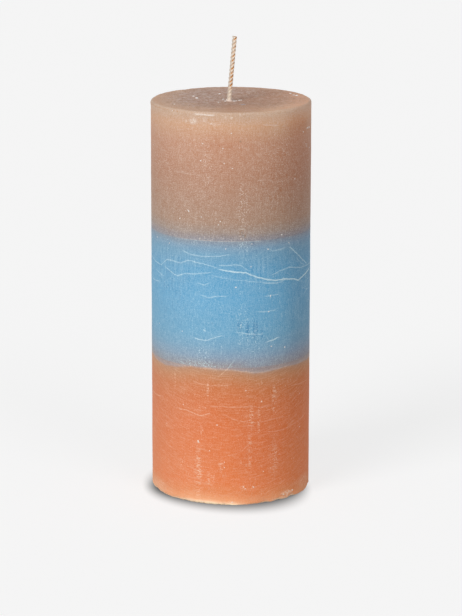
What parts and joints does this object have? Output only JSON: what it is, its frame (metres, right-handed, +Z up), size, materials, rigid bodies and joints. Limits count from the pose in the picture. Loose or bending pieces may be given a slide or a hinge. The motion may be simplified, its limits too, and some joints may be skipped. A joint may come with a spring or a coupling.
{
  "type": "pillar candle",
  "caption": "Free-standing round pillar candle cast in three bands of matte coloured wax, with a twisted cotton wick through its length and a steel sustainer under its foot.",
  "frame": {"origin": "centre of the flat foot, on the surface that the candle stands on", "axes": "+Z up along the axis of the wax, towards the wick; the free end of the wick leans to +X, and -Y is the side seen in the picture"},
  "size_m": [0.07, 0.07, 0.2032],
  "materials": {
    "orange_wax": "matte poured wax, pale scuffs and fine speckle",
    "blue_wax": "matte poured wax with white hairline crazing",
    "tan_wax": "matte poured wax, frosted and finely speckled",
    "cotton": "waxed cotton cord",
    "tinplate": "bright stamped tinplate"
  },
  "bodies": {
    "root": {"base_wax_pour": "orange_wax", "middle_wax_pour": "blue_wax", "top_wax_pour": "tan_wax", "wick": "cotton", "wick_sustainer": "tinplate"}
  },
  "joints": []
}
